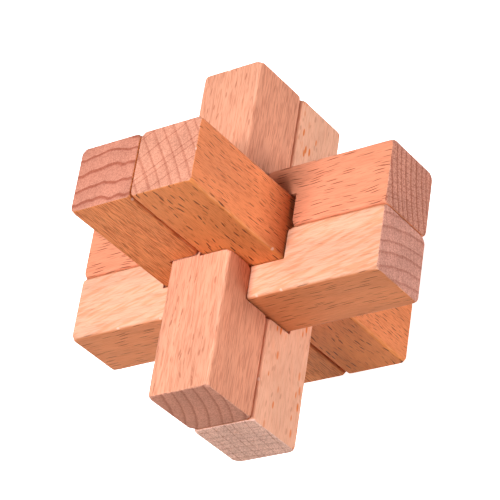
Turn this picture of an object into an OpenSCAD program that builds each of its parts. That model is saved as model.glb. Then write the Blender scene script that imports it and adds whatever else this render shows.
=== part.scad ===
// Six-stick burr puzzle: three crossing pairs of square sticks, notched into each other and
// locked by a plain key stick, which is the first to slide out and the last to go in.
//
// The origin is the centre of the burr, where the three pairs cross. One pair stands along Z,
// one lies along X and one along Y. Everything inside is laid out on a grid of unit cubes, each
// half a stick wide, so that a stick's notched middle is four cubes long and two by two across.

/* [Sticks] */
// Length of every stick
stick_length = 76; // [60:1:110]
// Width of a stick's square section
stick_width = 14.8; // [11:0.1:20]
// Gap between any two faces that meet, which lets the sticks slide
fit_gap = 0.2; // [0.1:0.05:0.4]

/* [Edges] */
// Radius that the long edges are rounded to before the notches are cut
long_edge_radius = 0.8; // [0.3:0.05:1.5]
// Radius of the lighter rounding around the end faces
end_edge_radius = 0.4; // [0.1:0.05:0.6]
// Radius of the extra rounding that wears down the four corners of each end
corner_radius = 1.1; // [0.6:0.1:2]

/* [Key slot] */
// Extra length cut from the outer end of the back stick's key slot
key_slot_slack = 0.6; // [0:0.05:1]

/* [Hidden] */
$fn = 48;

pitch = stick_width + fit_gap; // from one stick of a pair to the other
unit = pitch / 2;              // side of one unit cube of the grid
overcut = 1;                   // how far a cut runs past the outside of a stick
bar_clearance = 0.1;           // from a long edge to the round bar that wears the corners down

// A stick's burr number is one more than the sum of 2^place over its missing cubes. The stick
// lies along X with its notched side up. Places 0 to 3 are the upper cubes at -Y from -X to +X,
// 4 to 7 the upper cubes at +Y, and 8 to 11 the two middle lower cubes at -Y, then at +Y.
UPPER_NEAR = [for (i = [0:3]) [i, 0, 1]];
UPPER_FAR = [for (i = [0:3]) [i, 1, 1]];
LOWER_NEAR = [for (i = [1:2]) [i, 0, 0]];
LOWER_FAR = [for (i = [1:2]) [i, 1, 0]];
CUBES = concat(UPPER_NEAR, UPPER_FAR, LOWER_NEAR, LOWER_FAR);

// The five notched sticks of this burr, and the key, which is number 1 and has no notch
KEY = 1;
TROUGH = 256;
LEFT_HOOK = 824;
TOOTH = 928;
RIGHT_HOOK = 975;
BRIDGE = 1024;

function is_missing(number, place) = floor((number - 1) / pow(2, place)) % 2 == 1;
function missing_cubes(number) =
    [for (place = [0:len(CUBES) - 1]) if (is_missing(number, place)) CUBES[place]];

// A rectangle about the origin with its corners rounded to radius r
module rounded_rectangle(size, r) {
    square([size[0], size[1] - 2 * r], center = true);
    square([size[0] - 2 * r, size[1]], center = true);
    for (x = [-1, 1], y = [-1, 1])
        translate([x * (size[0] / 2 - r), y * (size[1] / 2 - r)])
            circle(r = r);
}

// A round bar along X with rounded rims. It is just too wide to touch a stick's long edges, so
// only the rims reach the wood, at the corners of the ends.
module rimmed_bar() {
    long_edge_reach = stick_width / sqrt(2) - long_edge_radius * (sqrt(2) - 1);
    bar_radius = long_edge_reach + bar_clearance;
    rotate([0, 90, 0])
        rotate_extrude()
            intersection() {
                rounded_rectangle([2 * bar_radius, stick_length], corner_radius);
                translate([0, -stick_length]) square([2 * bar_radius, 2 * stick_length]);
            }
}

// A stick along X before any notch is cut. The section rounds its long edges, the two side
// views round the edges of its end faces, and the bar wears down the corners.
module blank_stick() {
    intersection() {
        rotate([90, 0, 90])
            linear_extrude(stick_length, center = true)
                rounded_rectangle([stick_width, stick_width], long_edge_radius);
        linear_extrude(2 * stick_width, center = true)
            rounded_rectangle([stick_length, stick_width], end_edge_radius);
        rotate([90, 0, 0])
            linear_extrude(2 * stick_width, center = true)
                rounded_rectangle([stick_length, stick_width], end_edge_radius);
        rimmed_bar();
    }
}

// How far a cut reaches across the stick for the cubes at side 0 or 1: half the fit gap past
// the middle on the inside, and clear of the wood on the outside
function cut_from(side) = side == 0 ? -unit - overcut : -fit_gap / 2;
function cut_to(side) = side == 0 ? fit_gap / 2 : unit + overcut;

// The room that one missing cube leaves, half the fit gap larger than the cube all round
module cube_cut(cube_at) {
    low = [(cube_at[0] - 2) * unit - fit_gap / 2, cut_from(cube_at[1]), cut_from(cube_at[2])];
    high = [(cube_at[0] - 1) * unit + fit_gap / 2, cut_to(cube_at[1]), cut_to(cube_at[2])];
    translate(low) cube(high - low);
}

// A stick along X with the notches of its burr number, turned end for end if flip is 1, and
// then rolled about its length by a number of quarter turns
module notched_stick(number, flip, quarter_rolls) {
    rotate([90 * quarter_rolls, 0, 0])
        rotate([0, 0, 180 * flip])
            difference() {
                blank_stick();
                for (cube_at = missing_cubes(number)) cube_cut(cube_at);
            }
}

// Where the three pairs lie. Side -1 or 1 says which stick of the pair is meant.
module along_x(side) { translate([0, side * pitch / 2, 0]) rotate([90, 0, 0]) children(); }
module along_y(side) { translate([0, 0, side * pitch / 2]) rotate([180, 0, 90]) children(); }
module along_z(side) { translate([side * pitch / 2, 0, 0]) rotate([0, -90, 0]) children(); }

// The plain stick, upright on the right, which locks the other five
module key_stick() {
    color("sandybrown") along_z(1) notched_stick(KEY, 0, 0);
}

// The key's neighbour, upright on the left, with a tooth left standing between two notches
module upright_stick() {
    color("rosybrown") along_z(-1) notched_stick(TOOTH, 0, 2);
}

// Across the front, with one long trough half the stick deep
module front_stick() {
    color("navajowhite") along_x(-1) notched_stick(TROUGH, 0, 2);
}

// Across the back. Its key slot is cut a little too long, which leaves a dark gap by the key.
module back_stick() {
    slot_end = 2 * unit;
    color("lightsalmon") difference() {
        along_x(1) notched_stick(LEFT_HOOK, 1, 0);
        translate([slot_end - overcut, -overcut, -unit - overcut])
            cube([
                overcut + fit_gap / 2 + key_slot_slack,
                overcut + unit + fit_gap / 2,
                2 * (unit + overcut)
            ]);
    }
}

// From front to back, above the middle
module upper_stick() {
    color("burlywood") along_y(1) notched_stick(RIGHT_HOOK, 1, 0);
}

// From front to back, below the middle, cut down to a bridge of two cubes
module lower_stick() {
    color("wheat") along_y(-1) notched_stick(BRIDGE, 0, 2);
}

key_stick();
upright_stick();
front_stick();
back_stick();
upper_stick();
lower_stick();
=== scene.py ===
# %% [markdown]
# # A six-stick burr puzzle in beech
# A burr is a knot of square wooden sticks that lock each other where they cross. This one has
# six sticks in three pairs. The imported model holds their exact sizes, notches and places, and
# this lesson gives them their wood: softened edges, ends straight off the saw, growth rings,
# ray flecks, and the small chips of a puzzle that has been taken apart and put together.

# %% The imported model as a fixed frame
import itertools
import math
import random

import bmesh
import bpy
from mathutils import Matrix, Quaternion, Vector, noise
from mathutils.bvhtree import BVHTree
from mathutils.kdtree import KDTree


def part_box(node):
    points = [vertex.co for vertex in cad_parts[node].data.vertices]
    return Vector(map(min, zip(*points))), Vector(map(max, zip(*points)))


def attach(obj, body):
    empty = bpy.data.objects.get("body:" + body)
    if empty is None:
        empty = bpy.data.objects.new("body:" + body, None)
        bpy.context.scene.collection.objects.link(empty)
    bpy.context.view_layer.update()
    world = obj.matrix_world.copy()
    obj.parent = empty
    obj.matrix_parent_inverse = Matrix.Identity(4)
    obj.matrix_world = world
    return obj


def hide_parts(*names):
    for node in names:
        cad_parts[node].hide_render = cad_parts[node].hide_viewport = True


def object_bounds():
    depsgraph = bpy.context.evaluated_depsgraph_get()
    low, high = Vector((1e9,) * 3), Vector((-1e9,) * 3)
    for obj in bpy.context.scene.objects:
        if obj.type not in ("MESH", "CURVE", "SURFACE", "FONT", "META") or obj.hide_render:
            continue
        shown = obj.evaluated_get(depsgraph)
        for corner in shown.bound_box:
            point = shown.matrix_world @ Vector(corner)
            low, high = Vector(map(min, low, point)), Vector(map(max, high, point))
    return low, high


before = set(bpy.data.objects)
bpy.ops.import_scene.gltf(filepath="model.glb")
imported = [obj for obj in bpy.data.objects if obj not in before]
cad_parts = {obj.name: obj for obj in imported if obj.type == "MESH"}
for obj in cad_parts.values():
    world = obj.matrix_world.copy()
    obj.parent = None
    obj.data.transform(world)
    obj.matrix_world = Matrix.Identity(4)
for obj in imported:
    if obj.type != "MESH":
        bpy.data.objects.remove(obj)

MM = 0.001
cad_low, cad_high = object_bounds()
print("model size in mm:", [round(side / MM, 2) for side in cad_high - cad_low])

# %% [markdown]
# ## The camera
# The camera looks down on a corner of the puzzle from a long way off, through a long lens, so
# that the sticks stay almost parallel. It is also rolled on its side, which a studio camera does
# on its tripod head. An azimuth, an elevation, a roll and a distance are easier to read and to
# change than a rotation matrix, so the matrix is worked out from them.

# %% The camera
VIEW_AZIMUTH = math.radians(47.75)
VIEW_ELEVATION = math.radians(41.08)
VIEW_ROLL = math.radians(49.94)
VIEW_DISTANCE = 478.9 * MM
VIEW_CENTRE = Vector((0.56, 1.62, 0.77)) * MM
LENS = 169.5
SENSOR = 36.0


def make_camera():
    """A long lens that looks at the view centre, turned clockwise by the roll."""
    level = math.cos(VIEW_ELEVATION)
    towards_camera = Vector(
        (math.sin(VIEW_AZIMUTH) * level, -math.cos(VIEW_AZIMUTH) * level, math.sin(VIEW_ELEVATION))
    )
    camera = bpy.data.objects.new("camera", bpy.data.cameras.new("camera"))
    camera.data.lens = LENS
    camera.data.sensor_width = SENSOR
    camera.location = VIEW_CENTRE + towards_camera * VIEW_DISTANCE
    camera.rotation_mode = "QUATERNION"
    aimed = (-towards_camera).to_track_quat("-Z", "Y")
    camera.rotation_quaternion = aimed @ Quaternion((0, 0, 1), -VIEW_ROLL)
    bpy.context.scene.collection.objects.link(camera)
    bpy.context.scene.camera = camera
    return camera


camera = make_camera()
print("camera at, in mm:", [round(place / MM, 1) for place in camera.location])

# %% [markdown]
# ## Reading a stick
# Each real stick is planed square, has its long edges rounded over, and is notched last, so the
# notches cut through the rounding with sharp edges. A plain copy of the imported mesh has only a
# few long triangles, too few to carry dents or rounded edges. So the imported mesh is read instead:
# every flat face that is square to an axis gives one level, and the levels of the three axes
# cut the stick's box into cells that are either all wood or all air.

# %% Reading a stick
SQUARE_ON = 0.999  # a face is square to an axis when its normal has this share along it
SAME = 1e-6        # two places this close are one


def flat_faces(mesh, axis):
    """The faces of a mesh that stand square to an axis."""
    return [face for face in mesh.polygons if abs(face.normal[axis]) > SQUARE_ON]


def levels_along(mesh, axis):
    """Where the square faces stand along an axis, from lowest to highest, each place once."""
    levels = []
    for place in sorted(face.center[axis] for face in flat_faces(mesh, axis)):
        if not levels or place - levels[-1] > SAME:
            levels.append(place)
    return levels


levels = levels_along(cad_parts["upright_stick"].data, 2)
print("levels of the upright stick in mm:", [round(level / MM, 2) for level in levels])

# %% [markdown]
# ## Measuring the roundings
# The sizes of the rounded edges could be typed in again here, but then they could drift apart
# from the model's. They are measured instead. The rounding is what is left between the last flat
# face and the outside of the stick.

# %% Measuring the roundings


def outer_corners(mesh, middle, half, side):
    """The corners of the flat faces on a stick's two outsides along an axis."""
    outside = [
        face for face in flat_faces(mesh, side)
        if abs(abs(face.center[side] - middle[side]) - half[side]) < SAME
    ]
    return [mesh.vertices[corner].co for face in outside for corner in face.vertices]


def edge_radius(mesh, middle, half, side, across):
    """How far the flat of an outer side stops short of the stick's width."""
    corners = outer_corners(mesh, middle, half, side)
    return half[across] - max(abs(corner[across] - middle[across]) for corner in corners)


def reach_of(corners, middle, across):
    """How far the farthest of some corners stands from the stick's middle line."""
    wide, deep = across
    return max(
        math.hypot(corner[wide] - middle[wide], corner[deep] - middle[deep]) for corner in corners
    )


def corner_radius(mesh, middle, half, along, across):
    """How far short of the long edges the flat of an end stops, where its corners are worn."""
    long_reach = reach_of([vertex.co for vertex in mesh.vertices], middle, across)
    return long_reach - reach_of(outer_corners(mesh, middle, half, along), middle, across)


def read_stick(name):
    """The axis, middle, half sizes, levels and radii of one packed stick."""
    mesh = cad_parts[name].data
    low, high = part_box(name)
    middle = (low + high) / 2
    half = (high - low) / 2
    along = max(range(3), key=lambda axis: half[axis])
    wide, deep = [axis for axis in range(3) if axis != along]
    return {
        "mesh": mesh,
        "middle": middle,
        "half": half,
        "along": along,
        "across": (wide, deep),
        "levels": [levels_along(mesh, axis) for axis in range(3)],
        "long_radius": edge_radius(mesh, middle, half, wide, deep),
        "end_radius": edge_radius(mesh, middle, half, along, wide),
        "corner_radius": corner_radius(mesh, middle, half, along, (wide, deep)),
    }


sticks = {name: read_stick(name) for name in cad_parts}
for name, stick in sticks.items():
    radii = [round(stick[key] / MM, 2) for key in ("long_radius", "end_radius", "corner_radius")]
    print(name, "lies along", "XYZ"[stick["along"]], "- edge, end and corner radii in mm:", radii)

# %% [markdown]
# ## Grid lines
# Between the levels, finer grid lines carry the small shapes: about half a millimetre apart on
# the flats, and much closer inside the rounded edges and beside the notches. A Remesh modifier
# would spread its faces evenly, and blur the notches or need far too many.

# %% Grid lines
GRID_STEP = 0.55 * MM
LONG_EDGE_LINES = 6
END_EDGE_LINES = 3
NOTCH_INSETS = (0.14 * MM, 0.3 * MM, 0.5 * MM, 0.75 * MM)  # extra lines beside each notch wall
CLOSEST = 0.07 * MM


def fine_lines(levels, edge, edge_lines):
    """All the levels, closer lines within an edge's width of both ends and beside every notch
    wall, and even steps between."""
    extra = []
    for line in range(1, edge_lines + 1):
        inset = edge * line / edge_lines
        extra += [levels[0] + inset, levels[-1] - inset]
    for level in levels[1:-1]:
        for inset in NOTCH_INSETS:
            extra += [level - inset, level + inset]
    fixed = list(levels)
    for place in extra:
        if levels[0] < place < levels[-1] and min(abs(place - other) for other in fixed) > CLOSEST:
            fixed.append(place)
    fixed.sort()
    lines = []
    for start, stop in zip(fixed, fixed[1:]):
        steps = max(1, math.ceil((stop - start) / GRID_STEP))
        lines += [start + (stop - start) * step / steps for step in range(steps)]
    return lines + [fixed[-1]]


key = sticks["key_stick"]
lines = fine_lines(key["levels"][0], key["long_radius"], LONG_EDGE_LINES)
print("grid lines across the key:", len(lines))

# %% [markdown]
# ## Which cells are wood
# A cell between the levels is all wood or all air, so its middle decides. A slanting line from
# the middle crosses the stick's surface an odd number of times if it starts in wood. A Boolean
# modifier could cut the notches instead, but it leaves long slivers beside every one.

# %% Which cells are wood
PROBE = Vector((0.531, 0.617, 0.581)).normalized()  # square to no face of the sticks


def is_wood(solid, point):
    """True where a line from the point crosses the surface an odd number of times."""
    crossings = 0
    hit = solid.ray_cast(point, PROBE)[0]
    while hit is not None:
        crossings += 1
        hit = solid.ray_cast(hit + PROBE * SAME, PROBE)[0]
    return crossings % 2 == 1


def wood_cells(stick):
    """The cells between the levels that hold wood, as (x, y, z) counts."""
    levels = stick["levels"]
    corners = [vertex.co for vertex in stick["mesh"].vertices]
    solid = BVHTree.FromPolygons(corners, [face.vertices for face in stick["mesh"].polygons])
    cells = set()
    for cell in itertools.product(*(range(len(part) - 1) for part in levels)):
        low = Vector(part[count] for part, count in zip(levels, cell))
        high = Vector(part[count + 1] for part, count in zip(levels, cell))
        if is_wood(solid, (low + high) / 2):
            cells.add(cell)
    return cells


print("wood cells of the upright stick:", len(wood_cells(sticks["upright_stick"])))

# %% [markdown]
# ## A skin of small faces
# The skin is a square face wherever a wood cell meets air, cut up by the grid lines. The cells
# also tell where the corners of the notches are: a place with wood in only one of the eight
# cells round it sticks out, and wears first.

# %% A skin of small faces


def notch_corners(stick, cells):
    """Every corner of a notch that sticks out, and the way it points."""
    levels = stick["levels"]
    ends = (0, len(levels[stick["along"]]) - 1)
    corners = []
    for spot in itertools.product(*(range(len(part)) for part in levels)):
        around = [
            back for back in itertools.product((0, 1), repeat=3)
            if tuple(count - step for count, step in zip(spot, back)) in cells
        ]
        if len(around) == 1 and spot[stick["along"]] not in ends:
            place = Vector(part[count] for part, count in zip(levels, spot))
            out = Vector(2 * step - 1 for step in around[0]).normalized()
            corners.append((place, out))
    return corners


def skin_of(stick):
    """A closed mesh of small square faces round the stick's wood, with sharp corners so far."""
    edges = [stick["long_radius"]] * 3
    edges[stick["along"]] = stick["end_radius"]
    counts = [LONG_EDGE_LINES] * 3
    counts[stick["along"]] = END_EDGE_LINES
    lines = [fine_lines(stick["levels"][axis], edges[axis], counts[axis]) for axis in range(3)]
    starts = [[lines[axis].index(level) for level in stick["levels"][axis]] for axis in range(3)]
    cells = wood_cells(stick)
    stick["corners"] = notch_corners(stick, cells)
    skin = bmesh.new()
    corners = {}

    def corner(place):
        if place not in corners:
            corners[place] = skin.verts.new([lines[axis][place[axis]] for axis in range(3)])
        return corners[place]

    def add_wall(cell, axis, side):
        first, second = (axis + 1) % 3, (axis + 2) % 3
        place = [0, 0, 0]
        place[axis] = starts[axis][cell[axis] + side]
        for one in range(starts[first][cell[first]], starts[first][cell[first] + 1]):
            for two in range(starts[second][cell[second]], starts[second][cell[second] + 1]):
                loop = []
                for step_one, step_two in ((0, 0), (1, 0), (1, 1), (0, 1)):
                    place[first] = one + step_one
                    place[second] = two + step_two
                    loop.append(corner(tuple(place)))
                skin.faces.new(loop if side else loop[::-1])

    for cell in sorted(cells):
        for axis in range(3):
            for side in (0, 1):
                beyond = list(cell)
                beyond[axis] += 1 if side else -1
                if tuple(beyond) not in cells:
                    add_wall(cell, axis, side)
    return skin


skin = skin_of(sticks["upright_stick"])
print("the upright stick's skin has", len(skin.faces), "faces")
skin.free()

# %% [markdown]
# ## Rounding the edges
# A router or a sander turns each outer edge into a quarter circle. The grid already has lines
# there, so the corner of the square is bent to a circle, and points on squares round the corner
# come to lie on arcs. The same bend eases the edges round the ends. A Bevel modifier would cut
# new faces that run into the notches and overlap there.

# %% Rounding the edges
def bend_corner(first, second):
    """Bends the outer corner of a unit square to a quarter circle. Returns the moved point and
    how far round the corner it lies, from 0 at either side to 1 on the diagonal."""
    reach = max(first, second)
    turned = min(first, second) / reach
    angle = math.pi / 4 * turned
    near, far = reach * math.cos(angle), reach * math.sin(angle)
    return (near, far, turned) if first >= second else (far, near, turned)


def ease(value, limit, radius, other, other_limit, other_radius):
    """Bends two distances from the middle where both come within a radius of their limits."""
    first = (value - (limit - radius)) / radius
    second = (other - (other_limit - other_radius)) / other_radius
    if min(first, second) <= 0:
        return value, other, 0.0
    first, second, turned = bend_corner(first, second)
    value = limit - radius + first * radius
    return value, other_limit - other_radius + second * other_radius, turned


print("a corner at (1, 1) moves to", [round(part, 3) for part in bend_corner(1.0, 1.0)[:2]])

# %% [markdown]
# ## Worn ends
# The four corners of each end are pulled in to a round rim, because corners wear from three
# sides. The bends are only made near the outside of the stick, so the notches keep the crisper
# edges that a saw leaves. The radius of the long edges grows and shrinks a little along the
# stick, as it does when the sanding is done by hand.

# %% Worn ends
RADIUS_DRIFT = 0.15          # the most that a long edge's radius grows, as a share of it
DRIFT_LENGTH = 11 * MM
DRIFT_SCALE = 1.7            # noise is 0 at whole numbers, so it is read off them
RIM_WEAR = 0.6               # how much a worn corner counts as an edge, from 0 to 1


def pull_in(place, stick, rim_start):
    """Pulls a place near an end's corner back to a round rim. Returns whether it had to move."""
    along = stick["along"]
    wide, deep = stick["across"]
    radius = stick["corner_radius"]
    out = math.hypot(place[wide], place[deep])
    past_rim = (out - rim_start) / radius
    past_end = (abs(place[along]) - stick["half"][along]) / radius + 1
    stretch = math.hypot(past_rim, past_end)
    if min(past_rim, past_end) <= 0 or stretch <= 1:
        return False
    new_out = rim_start + radius * past_rim / stretch
    place[wide] *= new_out / out
    place[deep] *= new_out / out
    new_end = stick["half"][along] + radius * (past_end / stretch - 1)
    place[along] = math.copysign(new_end, place[along])
    return True


def round_edges(skin, stick, seed):
    """Rounds the ends and the long edges, and notes on each vertex how much of an edge it is."""
    edge = skin.verts.layers.float.new("edge")
    along = stick["along"]
    wide, deep = stick["across"]
    half, end_radius = stick["half"], stick["end_radius"]
    corners = [vertex.co for vertex in stick["mesh"].vertices]
    rim_start = reach_of(corners, stick["middle"], (wide, deep)) - stick["corner_radius"]
    for vertex in skin.verts:
        place = vertex.co - stick["middle"]
        rim = max(abs(place[wide]), abs(place[deep]))
        new_rim, new_end, end_turned = ease(
            rim, half[wide], end_radius, abs(place[along]), half[along], end_radius
        )
        if end_turned:
            place[wide] *= new_rim / rim
            place[deep] *= new_rim / rim
            place[along] = math.copysign(new_end, place[along])
        corner = Vector((place[along] / DRIFT_LENGTH, seed, 0))
        corner.z = 2 * (place[wide] > 0) + (place[deep] > 0)
        drift = 1 + RADIUS_DRIFT * abs(noise.noise(corner * DRIFT_SCALE))
        radius = stick["long_radius"] * drift
        new_wide, new_deep, turned = ease(
            abs(place[wide]), half[wide], radius, abs(place[deep]), half[deep], radius
        )
        place[wide] = math.copysign(new_wide, place[wide])
        place[deep] = math.copysign(new_deep, place[deep])
        worn = pull_in(place, stick, rim_start)
        vertex[edge] = max(turned, end_turned, RIM_WEAR if worn else 0.0)
        vertex.co = stick["middle"] + place


print("the long edges' radius drifts by up to", round(RADIUS_DRIFT * 100), "percent")

# %% [markdown]
# ## Tumbled edges
# Loose sticks can be tumbled in a drum after they are notched, which dulls every sharp edge. A
# Smooth modifier would do that to the whole stick, and shrink it. Here only the vertices near
# sharp edges are smoothed, and never outwards, so that no stick grows into the next one and the
# key still slides.

# %% Tumbled edges
SHARP = math.radians(50)
TUMBLES = 4                  # times that the sharp edges are smoothed
TUMBLE_RINGS = 3             # how many vertices deep the smoothing reaches
TUMBLE_SHARE = 0.7           # how far each vertex goes towards its neighbours' middle


def mark_sharp_edges(skin):
    """Gives the crisp notch edges the same edge value as the middle of a rounded one."""
    edge = skin.verts.layers.float["edge"]
    for line in skin.edges:
        if line.calc_face_angle(0.0) > SHARP:
            for vertex in line.verts:
                vertex[edge] = 1.0


def tumble(skin):
    """Wears the sharp edges down by smoothing them, but never lets the surface grow outwards."""
    sharp = [line for line in skin.edges if line.calc_face_angle(0.0) > SHARP]
    near = {vertex for line in sharp for vertex in line.verts}
    for _ in range(TUMBLE_RINGS):
        near |= {line.other_vert(vertex) for vertex in near for line in vertex.link_edges}
    near = sorted(near, key=lambda vertex: vertex.index)
    for _ in range(TUMBLES):
        moves = []
        for vertex in near:
            around = Vector((0, 0, 0))
            for line in vertex.link_edges:
                around += line.other_vert(vertex).co
            inwards = (around / len(vertex.link_edges) - vertex.co).dot(vertex.normal)
            moves.append(vertex.normal * min(0.0, inwards) * TUMBLE_SHARE)
        for vertex, move in zip(near, moves):
            vertex.co += move


print("edges sharper than", round(math.degrees(SHARP)), "degrees are tumbled", TUMBLES, "times")

# %% [markdown]
# ## Corners, waves and chips
# Handling does the rest. The corners of the notches wear the most, planed faces dip by a few
# hundredths of a millimetre, and a dropped puzzle gets small dents with paler, torn fibres. A
# bump map could fake them, but real dents change the outline too. A layer on the vertices
# remembers the chips for the material.

# %% Corners, waves and chips
CORNER_REACH = 1.5 * MM
CORNER_DEPTH = 0.5 * MM
WAVE_LENGTH = 8 * MM
WAVE_DEPTH = 0.035 * MM
EDGE_MIDDLE = 0.9            # an edge value over this is the middle of an edge
CHIPS_EACH = 6
CHIP_RADIUS = (0.25 * MM, 0.55 * MM)
CHIP_DEPTH = (0.04 * MM, 0.12 * MM)
CHIP_GRAIN = 0.4 * MM        # the size of the roughness inside a chip
TORN_MIDDLE, TORN_SWING = 0.7, 0.5


def wear_corners(skin, stick, near):
    """Pushes every corner that sticks out back along its diagonal."""
    for corner, out in stick["corners"]:
        for place, index, distance in near.find_range(corner, CORNER_REACH):
            share = (1 - distance / CORNER_REACH) ** 2
            skin.verts[index].co -= out * CORNER_DEPTH * share


def place_finder(skin):
    """A tree that finds the vertices near a place."""
    near = KDTree(len(skin.verts))
    for vertex in skin.verts:
        near.insert(vertex.co, vertex.index)
    near.balance()
    skin.verts.ensure_lookup_table()
    return near


def dent(skin, near, seed):
    """Waves over every face and a few chips on the edges, all of them inwards."""
    edge = skin.verts.layers.float["edge"]
    chip = skin.verts.layers.float.new("chip")
    for vertex in skin.verts:
        wave = 0.5 + 0.5 * noise.noise(vertex.co / WAVE_LENGTH + Vector((seed, 0, 0)))
        vertex.co -= vertex.normal * WAVE_DEPTH * wave
    draw = random.Random(seed)
    edge_vertices = [vertex for vertex in skin.verts if vertex[edge] > EDGE_MIDDLE]
    for _ in range(CHIPS_EACH):
        centre = draw.choice(edge_vertices).co.copy()
        radius = draw.uniform(*CHIP_RADIUS)
        depth = draw.uniform(*CHIP_DEPTH)
        for place, index, distance in near.find_range(centre, radius):
            vertex = skin.verts[index]
            torn = TORN_MIDDLE + TORN_SWING * noise.noise(place / CHIP_GRAIN)
            share = (1 - (distance / radius) ** 2) * torn
            vertex.co -= vertex.normal * depth * share
            vertex[chip] = max(vertex[chip], share)


print("chips on each stick:", CHIPS_EACH)

# %% [markdown]
# ## Making the six pieces
# Each piece is the skin with its edges rounded and its wear added. Two modifiers finish it. A
# Bevel breaks what is left of the sharp edges by less than a tenth of a millimetre, which makes
# them catch the light, and a Weighted Normal keeps the flats flat beside them. The key rides on
# its own body. The other five ride together on the lattice.

# %% Making the six pieces
NOTCH_BREAK = 0.07 * MM
BEVEL_FROM = math.radians(40)
FIRST_SEED = 3               # the sticks are numbered from here, and the numbers seed their wear


def add_modifiers(piece):
    """Breaks the sharp edges and evens the shading."""
    bevel = piece.modifiers.new("broken edges", "BEVEL")
    bevel.width = NOTCH_BREAK
    bevel.segments = 2
    bevel.limit_method = "ANGLE"
    bevel.angle_limit = BEVEL_FROM
    normals = piece.modifiers.new("flat flats", "WEIGHTED_NORMAL")
    normals.keep_sharp = True


def make_stick(name, seed):
    """One finished stick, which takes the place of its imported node."""
    stick = sticks[name]
    skin = skin_of(stick)
    round_edges(skin, stick, seed)
    skin.normal_update()
    mark_sharp_edges(skin)
    skin.verts.index_update()
    tumble(skin)
    near = place_finder(skin)
    wear_corners(skin, stick, near)
    dent(skin, near, seed)
    mesh = bpy.data.meshes.new(name + "_wood")
    skin.to_mesh(mesh)
    skin.free()
    mesh.shade_smooth()
    piece = bpy.data.objects.new(name + "_wood", mesh)
    bpy.context.scene.collection.objects.link(piece)
    add_modifiers(piece)
    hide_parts(name)
    return piece


numbered = enumerate(sorted(sticks), start=FIRST_SEED)
pieces = {name: make_stick(name, seed) for seed, name in numbered}
for name, piece in pieces.items():
    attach(piece, "key" if name == "key_stick" else "lattice")
    print(piece.name, "has", len(piece.data.polygons), "faces")

# %% [markdown]
# ## Wiring nodes in code
# Materials here are all made of nodes. A few helpers keep the recipes readable. The first adds a
# node and fills its inputs, from a number or from another node's output. The others are short
# words for the nodes that are used most. They need not be told which tree they work in, because
# the output that they are given knows its own.

# %% Wiring nodes in code
ORIGIN = (0, 0, 0)
MIX_SHARE, MIX_FIRST, MIX_SECOND = 0, 6, 7  # a Mix node's inputs for colours, which share names
MIX_COLOUR = 2                              # its output for colours


def add_node(tree, kind, inputs=None, **settings):
    """Adds a node. Each input is given a value, or is linked if it is given an output."""
    node = tree.nodes.new(kind)
    for setting, value in settings.items():
        setattr(node, setting, value)
    for label, value in (inputs or {}).items():
        if isinstance(value, bpy.types.NodeSocket):
            tree.links.new(value, node.inputs[label])
        else:
            node.inputs[label].default_value = value
    return node


def wire(kind, inputs, **settings):
    """Adds a node to the tree that its linked inputs come from, and returns its outputs."""
    sockets = [value for value in inputs.values() if isinstance(value, bpy.types.NodeSocket)]
    return add_node(sockets[0].id_data, kind, inputs, **settings).outputs


def maths(operation, first, second=0.0, third=0.0, clamp=False):
    """The output of one Math node."""
    values = {0: first, 1: second, 2: third}
    return wire("ShaderNodeMath", values, operation=operation, use_clamp=clamp)[0]


def times(first, second):
    """The first value times the second."""
    return maths("MULTIPLY", first, second)


def over(first, second):
    """The first value divided by the second."""
    return maths("DIVIDE", first, second)


def times_plus(first, second, third, clamp=False):
    """The first value times the second, plus the third."""
    return maths("MULTIPLY_ADD", first, second, third, clamp)


def ramp(value, start, stop, low=0.0, high=1.0):
    """A smooth step of a value, from low at start to high at stop."""
    inputs = {"Value": value, "From Min": start, "From Max": stop, "To Min": low, "To Max": high}
    return wire("ShaderNodeMapRange", inputs, interpolation_type="SMOOTHSTEP")[0]


def mix_colour(share, first, second, blend="MIX"):
    """A share of the second colour mixed into the first."""
    inputs = {MIX_SHARE: share, MIX_FIRST: first, MIX_SECOND: second}
    return wire("ShaderNodeMix", inputs, data_type="RGBA", blend_type=blend)[MIX_COLOUR]


def vector_maths(operation, first, second=ORIGIN, output="Vector"):
    """The output of one Vector Math node."""
    return wire("ShaderNodeVectorMath", {0: first, 1: second}, operation=operation)[output]


def combine(x, y, z):
    """A vector from its three parts."""
    return wire("ShaderNodeCombineXYZ", {"X": x, "Y": y, "Z": z})[0]


def separate(vector):
    """The three parts of a vector, as X, Y and Z."""
    return wire("ShaderNodeSeparateXYZ", {0: vector})


def noise_at(place, detail, pace=1.0):
    """Smooth noise at a place. The pace says how fast it changes."""
    return wire("ShaderNodeTexNoise", {"Vector": place, "Scale": pace, "Detail": detail})[0]


print("short words for nodes: maths, times, over, times_plus, ramp, mix_colour, noise_at")

# %% [markdown]
# ## Effects as node groups
# An effect such as growth rings could be wired again in each of the six materials, but then six
# copies would have to be kept alike. A node group is built once, with named inputs and outputs,
# and placed in each material with that material's own values.

# %% Effects as node groups


def kind_of(value):
    """The kind of socket that holds a value: one number, three, or the four of a colour."""
    if isinstance(value, float):
        return "NodeSocketFloat"
    return "NodeSocketVector" if len(value) == 3 else "NodeSocketColor"


def new_group(name, inputs, outputs):
    """An empty group. Inputs map a label to its first value, outputs map a label to a kind."""
    group = bpy.data.node_groups.new(name, "ShaderNodeTree")
    for label, value in inputs.items():
        socket = group.interface.new_socket(label, in_out="INPUT", socket_type=kind_of(value))
        socket.default_value = value
    for label, kind in outputs.items():
        group.interface.new_socket(label, in_out="OUTPUT", socket_type="NodeSocket" + kind)
    given = group.nodes.new("NodeGroupInput").outputs
    result = group.nodes.new("NodeGroupOutput").inputs
    return group, given, result


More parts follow.
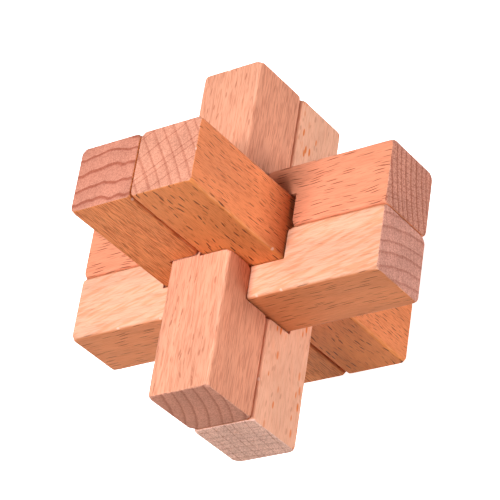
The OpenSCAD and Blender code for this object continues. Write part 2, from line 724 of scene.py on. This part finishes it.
def give_out(group, result, made):
    """Links what was made to the group's outputs, and says how large the group has become."""
    for label, value in made.items():
        group.links.new(value, result[label])
    print(f"{group.name}: {len(group.nodes)} nodes, which give {', '.join(made)}")


def place_group(tree, group, inputs):
    """A group placed in a tree, as its outputs."""
    return add_node(tree, "ShaderNodeGroup", inputs, node_tree=group).outputs


print("a colour is held by a", kind_of((1, 1, 1, 1)), "and a place by a", kind_of(ORIGIN))

# %% [markdown]
# ## Where the wood grew in the tree
# Rings and rays follow the tree and not the stick, so a pattern that looks right on all sides
# starts from where each point of the stick stood in the trunk: how far round it, how far up it,
# and how far out from the heart, all in millimetres. Two masks come with it. The end cut is the
# face across the grain, and the flat cut is the side that faces the heart or the bark, where rays
# show as short dashes. On the side in between, the quarter cut, they show as wider flecks.

# %% Where the wood grew in the tree
SIDE_TO_END = (0.45, 0.85)      # how far a face has to turn to the grain to be an end
QUARTER_TO_FLAT = (0.1, 0.95)   # and to the heart to be a flat cut
STAND = {
    "Position": ORIGIN, "Normal": (0, 0, 1), "Heart": ORIGIN, "Heart Distance": 40.0,
    "Up": (1, 0, 0), "Out": (0, 1, 0),
}
tree_place, given, result = new_group(
    "Place in the tree", STAND, {"Place": "Vector", "End Cut": "Float", "Flat Cut": "Float"}
)


def dot(first, second):
    """How much of one vector lies along another."""
    return vector_maths("DOT_PRODUCT", first, second, "Value")


from_heart = vector_maths("SUBTRACT", given["Position"], given["Heart"])
from_heart = vector_maths("DIVIDE", from_heart, (MM, MM, MM))
round_axis = vector_maths("CROSS_PRODUCT", given["Up"], given["Out"])
up_trunk = dot(from_heart, given["Up"])
outwards = dot(from_heart, given["Out"])
sideways = dot(from_heart, round_axis)
squares = [maths("POWER", part, 2.0) for part in (outwards, sideways)]
radius = maths("SQRT", maths("ADD", *squares))
girth = times(maths("ARCTAN2", sideways, outwards), given["Heart Distance"])
facing_up = maths("ABSOLUTE", dot(given["Normal"], given["Up"]))
facing_out = maths("ABSOLUTE", dot(given["Normal"], given["Out"]))
give_out(tree_place, result, {
    "Place": combine(girth, up_trunk, radius),
    "End Cut": ramp(facing_up, *SIDE_TO_END),
    "Flat Cut": ramp(facing_out, *QUARTER_TO_FLAT),
})

# %% [markdown]
# ## Growth rings
# Each summer ends in a thin dark line of dense wood, after a slow fade through the year. A Wave
# texture would make every ring alike. Here the distance from the heart, divided by the ring
# width, gives the year and how late it is, so the fade and the line can be shaped apart. Noise
# bends the rings, and a second, slower noise makes good years wide and poor years narrow.

# %% Growth rings
FADE_SHARE = 0.35                # how dark the slow fade gets beside the line that ends it
LINE_START = 0.70                # when in the year the line begins
LINE_PEAK = 0.92                 # and when it is darkest
BEND_PACE = (0.16, 0.018, 0.07)  # how fast the bend changes round, up and out of the trunk
BEND_SIZE = 4.0                  # in mm, for a waver of 1
YEAR_PACE = 0.12                 # how fast good years and poor years take turns
YEAR_SHIFT = 3.0                 # how far they move the rings, in mm
growth_rings, given, result = new_group(
    "Growth rings",
    {"Place": ORIGIN, "Ring Width": 2.5, "Waver": 0.5, "Seed": 0.0},
    {"Late Wood": "Float"},
)
parts = separate(given["Place"])
bend_at = combine(
    times(parts["X"], BEND_PACE[0]),
    times(parts["Y"], BEND_PACE[1]),
    times_plus(parts["Z"], BEND_PACE[2], given["Seed"]),
)
bend = maths("SUBTRACT", noise_at(bend_at, 2.0), 0.5)
year_at = times_plus(parts["Z"], YEAR_PACE, given["Seed"])
year_inputs = {"W": year_at, "Scale": 1.0, "Detail": 1.0}
years = wire("ShaderNodeTexNoise", year_inputs, noise_dimensions="1D")[0]
bend_size = times(given["Waver"], BEND_SIZE)
grown = times_plus(bend, bend_size, parts["Z"])
grown = times_plus(years, YEAR_SHIFT, grown)
season = maths("FRACT", over(grown, given["Ring Width"]))
rise = ramp(season, LINE_START, LINE_PEAK)
fall = ramp(season, LINE_PEAK, 1.0, 1.0, 0.0)
late_line = times(rise, fall)
slow_fade = times(season, season)
late_wood = times_plus(slow_fade, FADE_SHARE, late_line, clamp=True)
give_out(growth_rings, result, {"Late Wood": late_wood})

# %% [markdown]
# ## Ray flecks
# Beech is known by its rays: thin upright sheets of cells that run from the heart to the bark.
# From the side they are dark dashes a millimetre or two long, and on a quarter cut they are
# flecks. Both could be drawn apart, but one cloud of flat lenses gives them together. A Voronoi
# texture sets a cell round each lens, and the distance from the cell's middle tells what is in
# it. Spacing and thickness are apart, so that thin flecks can stand far from each other.

# %% Ray flecks
CELL_STRETCH = 1.35        # how many times longer than its lens a cell is
LENS_DISORDER = 0.8        # 0 would set the lenses in rows, and 1 lets them crowd
LENS_EDGE = (0.36, 0.56)   # where a lens begins to fade, and where it has gone
KEEP_STEP = 0.15           # how gradual it is from a lens left out to one kept
SWAY_PACE = 0.09
SWAY_SIZE = 1.5            # how far the lenses stray round the trunk, in mm
ray_flecks, given, result = new_group(
    "Ray flecks",
    {
        "Place": ORIGIN, "Spacing": 1.0, "Thickness": 0.15, "Height": 1.6, "Depth": 8.0,
        "Share": 0.5, "Seed": 0.0,
    },
    {"Flecks": "Float"},
)
sway = noise_at(given["Place"], 1.0, SWAY_PACE)
parts = separate(given["Place"])
swayed = times_plus(sway, SWAY_SIZE, parts["X"])
lens_at = combine(
    maths("ADD", over(swayed, given["Spacing"]), given["Seed"]),
    over(parts["Y"], times(given["Height"], CELL_STRETCH)),
    over(parts["Z"], times(given["Depth"], CELL_STRETCH)),
)
lens_inputs = {"Vector": lens_at, "Scale": 1.0, "Randomness": LENS_DISORDER}
lenses = wire("ShaderNodeTexVoronoi", lens_inputs)
lenses_across = over(given["Spacing"], given["Thickness"])
cell_in_lenses = combine(lenses_across, CELL_STRETCH, CELL_STRETCH)
from_middle = vector_maths("SUBTRACT", lens_at, lenses["Position"])
from_middle = vector_maths("MULTIPLY", from_middle, cell_in_lenses)
from_middle = vector_maths("LENGTH", from_middle, output="Value")
body = ramp(from_middle, *LENS_EDGE, 1.0, 0.0)
chance = wire("ShaderNodeSeparateColor", {0: lenses["Color"]})["Red"]
least = maths("SUBTRACT", 1.0, given["Share"])
kept = ramp(chance, least, maths("ADD", least, KEEP_STEP))
give_out(ray_flecks, result, {"Flecks": times(body, kept)})

# %% [markdown]
# ## Ray lines on the end
# The tallest rays run far up the trunk and right across the end of a stick, where they are
# straight, hair-thin lines that cross the rings. A one-dimensional Voronoi over the girth gives
# lines at uneven distances, and noise along each one makes it fade in and out.

# %% Ray lines on the end
LINE_DISORDER = 0.75
LINE_EDGE = (0.25, 0.75)   # where a line begins to fade, and where it has gone
LINE_SWAY_PACE = 0.12
LINE_SWAY_SIZE = 0.8
SEED_STEP = 13.0           # how far one seed's lines lie from the next one's
FADE_PACE = (0.8, 0.3)     # how fast the fade changes round and out of the trunk
FADE_RANGE = (0.2, 0.5)
ray_lines, given, result = new_group(
    "Ray lines",
    {"Place": ORIGIN, "Spacing": 2.0, "Thickness": 0.2, "Seed": 0.0},
    {"Lines": "Float"},
)
parts = separate(given["Place"])
waver = noise_at(given["Place"], 1.0, LINE_SWAY_PACE)
line_at = times_plus(waver, LINE_SWAY_SIZE, parts["X"])
line_at = times_plus(given["Seed"], SEED_STEP, line_at)
line_at = over(line_at, given["Spacing"])
line_inputs = {"W": line_at, "Scale": 1.0, "Randomness": LINE_DISORDER}
nearest = wire("ShaderNodeTexVoronoi", line_inputs, voronoi_dimensions="1D")["Distance"]
off_line = over(times(nearest, given["Spacing"]), given["Thickness"])
thin_line = ramp(off_line, *LINE_EDGE, 1.0, 0.0)
fade_round = times(parts["X"], FADE_PACE[0])
fade_out = times(parts["Z"], FADE_PACE[1])
fade = noise_at(combine(fade_round, 0.0, fade_out), 1.0)
seen = times(thin_line, ramp(fade, *FADE_RANGE))
give_out(ray_lines, result, {"Lines": seen})

# %% [markdown]
# ## Fibres
# Between the rays the wood is fine fibre and tiny pores. On the sides these are hair-thin streaks
# a few millimetres long, and on the end they are a fine speckle. Noise that is stretched up the
# trunk gives both. Larger noise that leans a little gives flames, the soft warm stripes of a
# quarter cut, and a slow, faint one stands for the uneven colour that every board has.

# %% Fibres
SPECKLE_SIZE = (0.26, 1.5)        # thickness and length in mm
FLAME_SIZE = (0.75, 10.0, -0.28)  # thickness, length, and how far they lean outwards
CLOUD_SIZE = (5.0, 24.0)
STREAK_RANGE = (0.47, 0.62)       # the noise where a streak begins, and where it is full
SPECKLE_RANGE = (0.40, 0.62)
FLAME_RANGE = (0.46, 0.66)
fibres, given, result = new_group(
    "Fibres",
    {"Place": ORIGIN, "Thickness": 0.2, "Length": 5.0, "Seed": 0.0},
    {"Streaks": "Float", "Speckle": "Float", "Flames": "Float", "Clouds": "Float"},
)
parts = separate(given["Place"])


def fibre_noise(detail, thickness, length, lean=0.0):
    """Noise in fibres of that thickness and length."""
    across = over(parts["X"], thickness)
    leaning = times_plus(parts["Y"], lean, parts["Z"])
    place = combine(
        maths("ADD", across, given["Seed"]),
        over(parts["Y"], length),
        over(leaning, thickness),
    )
    return noise_at(place, detail)


give_out(fibres, result, {
    "Streaks": ramp(fibre_noise(1.0, given["Thickness"], given["Length"]), *STREAK_RANGE),
    "Speckle": ramp(fibre_noise(2.0, *SPECKLE_SIZE), *SPECKLE_RANGE),
    "Flames": ramp(fibre_noise(1.0, *FLAME_SIZE), *FLAME_RANGE),
    "Clouds": fibre_noise(2.0, *CLOUD_SIZE),
})

# %% [markdown]
# ## Rubbed edges with a painted highlight
# Fingers and sandpaper leave the edges lighter and smoother than the flats, in patches, and the
# chips show fresh, pale wood. The lighter colour of the edges is partly that wear and partly a
# painted highlight, the bright line that rounded edges catch. The Geometry node's Pointiness finds
# edges too, but it changes with the mesh. Both masks come from the layers that the mesh code left
# on the vertices, and noise breaks up the wear and the painted highlight.

# %% Rubbed edges with a painted highlight
PATCH_PACE = 0.5
PATCH_RANGE = (0.3, 0.7)
# The edge range sets where the wear and its painted highlight begin on the edge layer.
EDGE_RANGE = (0.4, 1.0)    # the edge layer where wear begins, and where it is full
CHIP_RANGE = (0.05, 0.5)   # and the same for the chip layer
rubbed_and_lit_edges, given, result = new_group(
    "Rubbed and lit edges", {"Place": ORIGIN, "Amount": 0.3}, {"Wear And Highlight": "Float", "Fresh": "Float"}
)
edge_layer = add_node(rubbed_and_lit_edges, "ShaderNodeAttribute", attribute_name="edge").outputs["Fac"]
chip_layer = add_node(rubbed_and_lit_edges, "ShaderNodeAttribute", attribute_name="chip").outputs["Fac"]
patches = noise_at(given["Place"], 3.0, PATCH_PACE)
# The first mask lightens the edges, partly for wear and partly as a painted highlight.
patchy = times(ramp(edge_layer, *EDGE_RANGE), ramp(patches, *PATCH_RANGE))
give_out(rubbed_and_lit_edges, result, {
    "Wear And Highlight": times(patchy, given["Amount"]),
    "Fresh": ramp(chip_layer, *CHIP_RANGE),
})

# %% [markdown]
# ## Beech, and what a board can choose
# The effects come together in one group, so that the six materials share one recipe and differ
# only in their values. Each cut has a colour of its own, as beech is palest on the quarter cut,
# warmer on the flat cut, and grey or purplish brown on the end, where the light falls into the
# open fibres. Lengths are in millimetres.

# %% Beech, and what a board can choose
beech, given, result = new_group(
    "Beech",
    {
        **STAND,
        "Quarter Colour": (0.8, 0.5, 0.3, 1), "Flat Colour": (0.8, 0.4, 0.2, 1),
        "End Colour": (0.6, 0.35, 0.25, 1), "Fleck Colour": (0.3, 0.1, 0.04, 1),
        "Ring Width": 2.5, "Ring Waver": 0.4, "Ring Strength": 0.4, "Side Rings": 0.1,
        "Fleck Strength": 0.8, "Fleck Height": 1.5, "Fleck Thickness": 0.15, "Fleck Depth": 8.0,
        "Fleck Spacing": 1.0, "Fleck Share": 0.4, "Quarter Flecks": 1.0,
        "Streak Strength": 0.3, "Streak Length": 5.0, "Flame Strength": 0.1,
        "Speckle Strength": 0.5, "Line Spacing": 2.0, "Line Strength": 0.5,
        "Dash Strength": 0.4, "Seed": 0.0,
    },
    {"Color": "Color", "Roughness": "Float", "Height": "Float"},
)
choices = [item.name for item in beech.interface.items_tree if item.in_out == "INPUT"]
print("the beech has", len(choices), "inputs")

# %% [markdown]
# ## Beech, from its effects
# Each effect is placed once, and passed the board's values. The ray flecks are placed a second
# time with fixed, finer values, for the tiny dashes that lie between the large ones.

# %% Beech, from its effects
FINE_FLECKS = {
    "Spacing": 0.55, "Thickness": 0.13, "Height": 1.7, "Depth": 1.0, "Share": 0.8, "Seed": 7.0,
}
stand = place_group(beech, tree_place, {label: given[label] for label in STAND})
place, end_cut, flat_cut = stand["Place"], stand["End Cut"], stand["Flat Cut"]
seeded = {"Place": place, "Seed": given["Seed"]}
rings = place_group(
    beech, growth_rings,
    {**seeded, "Ring Width": given["Ring Width"], "Waver": given["Ring Waver"]},
)["Late Wood"]
fleck_sizes = ("Spacing", "Thickness", "Height", "Depth", "Share")
chosen = {label: given["Fleck " + label] for label in fleck_sizes}
flecks = place_group(beech, ray_flecks, {**seeded, **chosen})["Flecks"]
dashes = place_group(beech, ray_flecks, {"Place": place, **FINE_FLECKS})["Flecks"]
lines = place_group(beech, ray_lines, {**seeded, "Spacing": given["Line Spacing"]})["Lines"]
fibre = place_group(beech, fibres, {**seeded, "Length": given["Streak Length"]})
wear = place_group(beech, rubbed_and_lit_edges, {"Place": place})
placed = [node.node_tree.name for node in beech.nodes if node.type == "GROUP"]
print("placed in the beech:", placed)

# %% [markdown]
# ## The colour of the beech
# The three cut colours are mixed first. Rings, flames, streaks, speckle, lines and dashes then
# multiply the colour by a tint, as a thin stain would, each on the cut where it shows. The large
# flecks have a colour of their own, and the edges are lightened, partly for wear and partly as a
# painted highlight.

# %% The colour of the beech
CLOUD_NOISE = (0.25, 0.75)            # from this much noise to that
CLOUD_SHADES = (0.92, 1.08)           # the clouds darken and lighten a board this far
END_FLECKS = 0.15                     # how much of a fleck is left on the end
LINE_TINT = (0.62, 0.42, 0.36, 1)     # for growth rings and for ray lines
FLAME_TINT = (0.96, 0.62, 0.42, 1)
STREAK_TINT = (0.60, 0.40, 0.32, 1)
SPECKLE_TINT = (0.60, 0.46, 0.42, 1)
DASH_TINT = (0.5, 0.3, 0.2, 1)
# the lighter edge colour: partly wear, partly a painted highlight
WEAR_AND_HIGHLIGHT_COLOUR, WEAR_AND_HIGHLIGHT_SHARE = (0.95, 0.66, 0.46, 1), 0.4
FRESH_COLOUR, FRESH_SHARE = (0.95, 0.72, 0.60, 1), 0.55

side_colour = mix_colour(flat_cut, given["Quarter Colour"], given["Flat Colour"])
colour = mix_colour(end_cut, side_colour, given["End Colour"])
clouds = ramp(fibre["Clouds"], *CLOUD_NOISE, *CLOUD_SHADES)
colour = mix_colour(1.0, colour, clouds, "MULTIPLY")
on_side = ramp(end_cut, 0.0, 1.0, 1.0, 0.0)
on_quarter = times(on_side, maths("SUBTRACT", 1.0, flat_cut))
ring_cut = ramp(end_cut, 0.0, 1.0, given["Side Rings"], 1.0)
for effect, cut, mask, tint in (
    ("Ring", ring_cut, rings, LINE_TINT),
    ("Flame", on_quarter, fibre["Flames"], FLAME_TINT),
    ("Streak", on_side, fibre["Streaks"], STREAK_TINT),
    ("Speckle", end_cut, fibre["Speckle"], SPECKLE_TINT),
    ("Line", end_cut, lines, LINE_TINT),
    ("Dash", on_side, dashes, DASH_TINT),
):
    share = times(times(mask, given[effect + " Strength"]), cut)
    colour = mix_colour(share, colour, tint, "MULTIPLY")
fleck_share = times(flecks, given["Fleck Strength"])
fleck_share = times(fleck_share, ramp(end_cut, 0.0, 1.0, 1.0, END_FLECKS))
fleck_cut = ramp(flat_cut, 0.0, 1.0, given["Quarter Flecks"], 1.0)
fleck_share = times(fleck_share, fleck_cut)
colour = mix_colour(fleck_share, colour, given["Fleck Colour"])
# Edges lightened: partly wear, partly a painted highlight of the light that rounded edges catch.
lighter = mix_colour(WEAR_AND_HIGHLIGHT_SHARE, colour, WEAR_AND_HIGHLIGHT_COLOUR)
colour = mix_colour(wear["Wear And Highlight"], colour, lighter)
fresh = mix_colour(FRESH_SHARE, colour, FRESH_COLOUR)
colour = mix_colour(wear["Fresh"], colour, fresh)
print("the colour is mixed in", sum(node.type == "MIX" for node in beech.nodes), "steps")

# %% [markdown]
# ## The feel of the beech
# Grooves this fine would need millions of faces, so they are bumps. The masks of the colour give
# their height, and the roughness: rays and pores are slightly open, the end is as rough as the
# saw left it, in fine ridges, and rubbed edges are smoother.

# %% The feel of the beech
SAW_PACE = (2.2, 0.0, 0.35)   # the ridges are fine round the trunk and long outwards
FLECK_RISE, STREAK_RISE, SPECKLE_RISE, SAW_RISE = -0.6, -0.35, -0.4, 1.6
SIDE_ROUGHNESS = 0.58
END_ROUGHER, FLECK_ROUGHER, WORN_ROUGHER, STREAK_ROUGHER = 0.15, 0.15, -0.12, 0.06

saw = noise_at(vector_maths("MULTIPLY", place, SAW_PACE), 2.0)
height = times_plus(flecks, FLECK_RISE, times(fibre["Streaks"], STREAK_RISE))
height = times_plus(fibre["Speckle"], SPECKLE_RISE, height)
height = times_plus(times(saw, end_cut), SAW_RISE, height)
rough = times_plus(end_cut, END_ROUGHER, SIDE_ROUGHNESS)
rough = times_plus(flecks, FLECK_ROUGHER, rough)
rough = times_plus(wear["Wear And Highlight"], WORN_ROUGHER, rough)
rough = times_plus(fibre["Streaks"], STREAK_ROUGHER, rough)
give_out(beech, result, {"Color": colour, "Roughness": rough, "Height": height})

# %% [markdown]
# ## A material for a board
# Each stick gets a material that places the Beech group. The heart of the tree is given as a
# direction out of it and a distance, which decide what sides are flat cut, with dashes, and
# quarter cut, with flames. The Principled BSDF stays outside the group, where an export can read
# it. Bare wood scatters most light and mirrors little, so its specular level is low.

# %% A material for a board
BUMP_DEPTH = 0.03 * MM
BARE_WOOD_SPECULAR = 0.22    # a varnished stick would have 0.5


def make_beech(name, out, heart_distance, **values):
    """One stick's material: the Beech group with this board's values, and a Principled BSDF."""
    stick = sticks[name]
    out = Vector(out).normalized()
    material = bpy.data.materials.new("beech_" + name.removesuffix("_stick"))
    material.use_nodes = True
    tree = material.node_tree
    tree.nodes.clear()
    coordinates = add_node(tree, "ShaderNodeTexCoord").outputs
    up = Vector(ORIGIN)
    up[stick["along"]] = 1.0
    inputs = {
        "Position": coordinates["Object"],
        "Normal": coordinates["Normal"],
        "Heart": stick["middle"] - out * heart_distance * MM,
        "Heart Distance": heart_distance,
        "Up": up,
        "Out": out,
    }
    inputs.update({label.replace("_", " ").title(): value for label, value in values.items()})
    wood = place_group(tree, beech, inputs)
    bump = add_node(
        tree, "ShaderNodeBump", {"Distance": BUMP_DEPTH, "Strength": 1.0, "Height": wood["Height"]}
    )
    shader = add_node(
        tree, "ShaderNodeBsdfPrincipled",
        {
            "Base Color": wood["Color"],
            "Roughness": wood["Roughness"],
            "Normal": bump.outputs[0],
            "Specular IOR Level": BARE_WOOD_SPECULAR,
        },
    )
    add_node(tree, "ShaderNodeOutputMaterial", {"Surface": shader.outputs[0]})
    pieces[name].data.materials.append(material)


print("a board's bump is", BUMP_DEPTH / MM, "mm deep")

# %% [markdown]
# ## Six sticks from six boards
# The sticks were cut from different boards, so each has its own colours, rings, flecks and place
# in the tree. One material for all six would be quicker, but then the puzzle looks cast in one
# piece. The key is the most orange, with the darkest dashes. The front stick has flames on top,
# and the lower stick's dashes are wide and pale.

# %% Six sticks from six boards
make_beech(
    "key_stick", out=(0.89, 0.45, 0), heart_distance=160,
    quarter_colour=(0.86, 0.295, 0.088, 1), flat_colour=(0.79, 0.24, 0.086, 1),
    end_colour=(0.79, 0.355, 0.242, 1), fleck_colour=(0.085, 0.018, 0.008, 1),
    ring_width=2.3, ring_waver=0.06, ring_strength=0.55,
    fleck_strength=1.0, fleck_height=2.2, fleck_thickness=0.12, fleck_depth=1.6, fleck_spacing=0.8,
    fleck_share=0.9, quarter_flecks=1.0,
    streak_strength=0.35, streak_length=2.5, speckle_strength=0.5,
    line_spacing=3.2, line_strength=0.7, dash_strength=0.6, seed=1.0,
)
make_beech(
    "upright_stick", out=(0.05, 1, 0), heart_distance=40,
    quarter_colour=(0.80, 0.27, 0.09, 1), flat_colour=(0.79, 0.268, 0.089, 1),
    end_colour=(0.69, 0.285, 0.198, 1), fleck_colour=(0.22, 0.06, 0.018, 1),
    ring_width=3.6, ring_waver=1.0, ring_strength=0.9,
    fleck_strength=0.8, fleck_height=2.4, fleck_thickness=0.13, fleck_depth=1.2, fleck_spacing=0.4,
    fleck_share=0.8, quarter_flecks=0.4,
    streak_strength=0.8, streak_length=3.5, speckle_strength=0.5,
    line_spacing=2.5, line_strength=0.15, dash_strength=0.5, seed=2.0,
)
make_beech(
    "back_stick", out=(0, -0.23, 0.97), heart_distance=60,
    quarter_colour=(0.88, 0.34, 0.18, 1), flat_colour=(0.835, 0.310, 0.178, 1),
    end_colour=(0.66, 0.288, 0.202, 1), fleck_colour=(0.27, 0.05, 0.018, 1),
    ring_width=1.75, ring_waver=0.12, ring_strength=0.9,
    fleck_strength=0.95, fleck_height=3.4, fleck_thickness=0.16, fleck_depth=1.8, fleck_spacing=0.6,
    fleck_share=0.9, quarter_flecks=0.3,
    streak_strength=0.2, streak_length=5.0, speckle_strength=0.8,
    line_spacing=1.3, line_strength=0.35, dash_strength=0.3, seed=3.0,
)
make_beech(
    "front_stick", out=(0, 0.96, 0.28), heart_distance=45,
    quarter_colour=(0.90, 0.50, 0.345, 1), flat_colour=(0.725, 0.25, 0.099, 1),
    end_colour=(0.69, 0.325, 0.248, 1), fleck_colour=(0.13, 0.034, 0.012, 1),
    ring_width=2.7, ring_waver=0.3, ring_strength=0.6,
    fleck_strength=0.9, fleck_height=3.4, fleck_thickness=0.16, fleck_depth=1.6, fleck_spacing=0.55,
    fleck_share=0.8, quarter_flecks=0.0,
    streak_strength=0.25, streak_length=5.0, flame_strength=0.62, speckle_strength=0.65,
    line_spacing=1.2, line_strength=0.35, dash_strength=0.2, seed=4.0,
)
make_beech(
    "upper_stick", out=(0.91, 0, -0.41), heart_distance=32,
    quarter_colour=(0.89, 0.424, 0.28, 1), flat_colour=(0.76, 0.31, 0.184, 1),
    end_colour=(0.69, 0.315, 0.228, 1), fleck_colour=(0.36, 0.09, 0.04, 1),
    ring_width=2.5, ring_waver=0.2, ring_strength=0.7,
    fleck_strength=0.6, fleck_height=1.9, fleck_thickness=0.1, fleck_depth=1.2, fleck_spacing=0.5,
    fleck_share=0.6, quarter_flecks=0.8,
    streak_strength=0.5, streak_length=4.5, flame_strength=0.1, speckle_strength=0.55,
    line_spacing=2.5, line_strength=0.2, dash_strength=0.2, seed=5.0,
)
make_beech(
    "lower_stick", out=(0.12, 0, 0.99), heart_distance=90,
    quarter_colour=(0.83, 0.415, 0.27, 1), flat_colour=(0.80, 0.34, 0.21, 1),
    end_colour=(1.0, 0.66, 0.57, 1), fleck_colour=(0.70, 0.17, 0.035, 1),
    ring_width=1.9, ring_waver=0.1, ring_strength=0.4,
    fleck_strength=1.0, fleck_height=2.2, fleck_thickness=1.1, fleck_depth=0.65, fleck_spacing=1.6,
    fleck_share=0.3, quarter_flecks=1.0,
    streak_strength=0.3, streak_length=3.0, speckle_strength=0.75,
    line_spacing=2.4, line_strength=0.65, dash_strength=0.35, seed=6.0,
)
print("materials:", sorted(material.name for material in bpy.data.materials))

# %% [markdown]
# ## The table
# The puzzle stands on a white acrylic sheet that glows, as a product table does when it is lit
# from below. It throws no shadow, so the lights that stand lower still reach the sticks, and it
# isn't seen in bounced light, so it adds none of its own.

# %% The table
TABLE_HALF = 3.0
TABLE_GLOW = 1.0
TABLE_ROUGHNESS = 0.6


def make_table():
    """One large square at the height of the puzzle's feet."""
    sheet = bmesh.new()
    bmesh.ops.create_grid(sheet, x_segments=4, y_segments=4, size=TABLE_HALF)
    mesh = bpy.data.meshes.new("table")
    sheet.to_mesh(mesh)
    sheet.free()
    table = bpy.data.objects.new("table", mesh)
    table.location.z = cad_low.z
    bpy.context.scene.collection.objects.link(table)
    acrylic = bpy.data.materials.new("white_acrylic")
    acrylic.use_nodes = True
    shader = acrylic.node_tree.nodes["Principled BSDF"]
    shader.inputs["Base Color"].default_value = (0.9, 0.9, 0.9, 1)
    shader.inputs["Roughness"].default_value = TABLE_ROUGHNESS
    shader.inputs["Emission Color"].default_value = (1, 1, 1, 1)
    shader.inputs["Emission Strength"].default_value = TABLE_GLOW
    mesh.materials.append(acrylic)
    table.visible_diffuse = False
    table.visible_shadow = False
    return table


table = make_table()
print("table at z =", round(table.location.z / MM, 2), "mm")

# %% [markdown]
# ## The light
# One strong lamp would leave hard shadows. Four large soft boxes and a faint, warm room light the
# gaps too, where the wood lights itself and turns deep orange. The top box hangs almost overhead,
# so the tops are brightest. The right box lights the right sides from just below the table, the
# back box fills in from behind, and a warm box low at the left keeps the front sides from going
# black. The Standard view transform shows the colours as they are set.

# %% The light
WHITE = (1, 1, 1)
WARM = (1.0, 0.76, 0.52)
ROOM_COLOUR = (1.0, 0.93, 0.84, 1)
ROOM_STRENGTH = 0.10
SOFT_BOXES = {  # where it stands in metres, its size in metres, its power in watts, its colour
    "top_box": ((0.0, -0.30, 0.95), 0.38, 12.8, WHITE),
    "right_box": ((0.97, 0.0, -0.22), 0.36, 8.0, WHITE),
    "under_box": ((-0.45, -0.45, -0.45), 0.7, 2.6, WARM),
    "back_box": ((-0.66, 0.72, -0.22), 0.8, 5.0, WHITE),
}

for name, (place, size, power, colour) in SOFT_BOXES.items():
    lamp = bpy.data.lights.new(name, "AREA")
    lamp.size = size
    lamp.energy = power
    lamp.color = colour
    box = bpy.data.objects.new(name, lamp)
    box.location = place
    box.rotation_mode = "QUATERNION"
    box.rotation_quaternion = (-Vector(place)).to_track_quat("-Z", "Y")
    bpy.context.scene.collection.objects.link(box)
    print(name, "gives", power, "W")

room = bpy.data.worlds.new("white_room")
room.use_nodes = True
background = room.node_tree.nodes["Background"].inputs
background["Color"].default_value = ROOM_COLOUR
background["Strength"].default_value = ROOM_STRENGTH
bpy.context.scene.world = room
bpy.context.scene.view_settings.view_transform = "Standard"
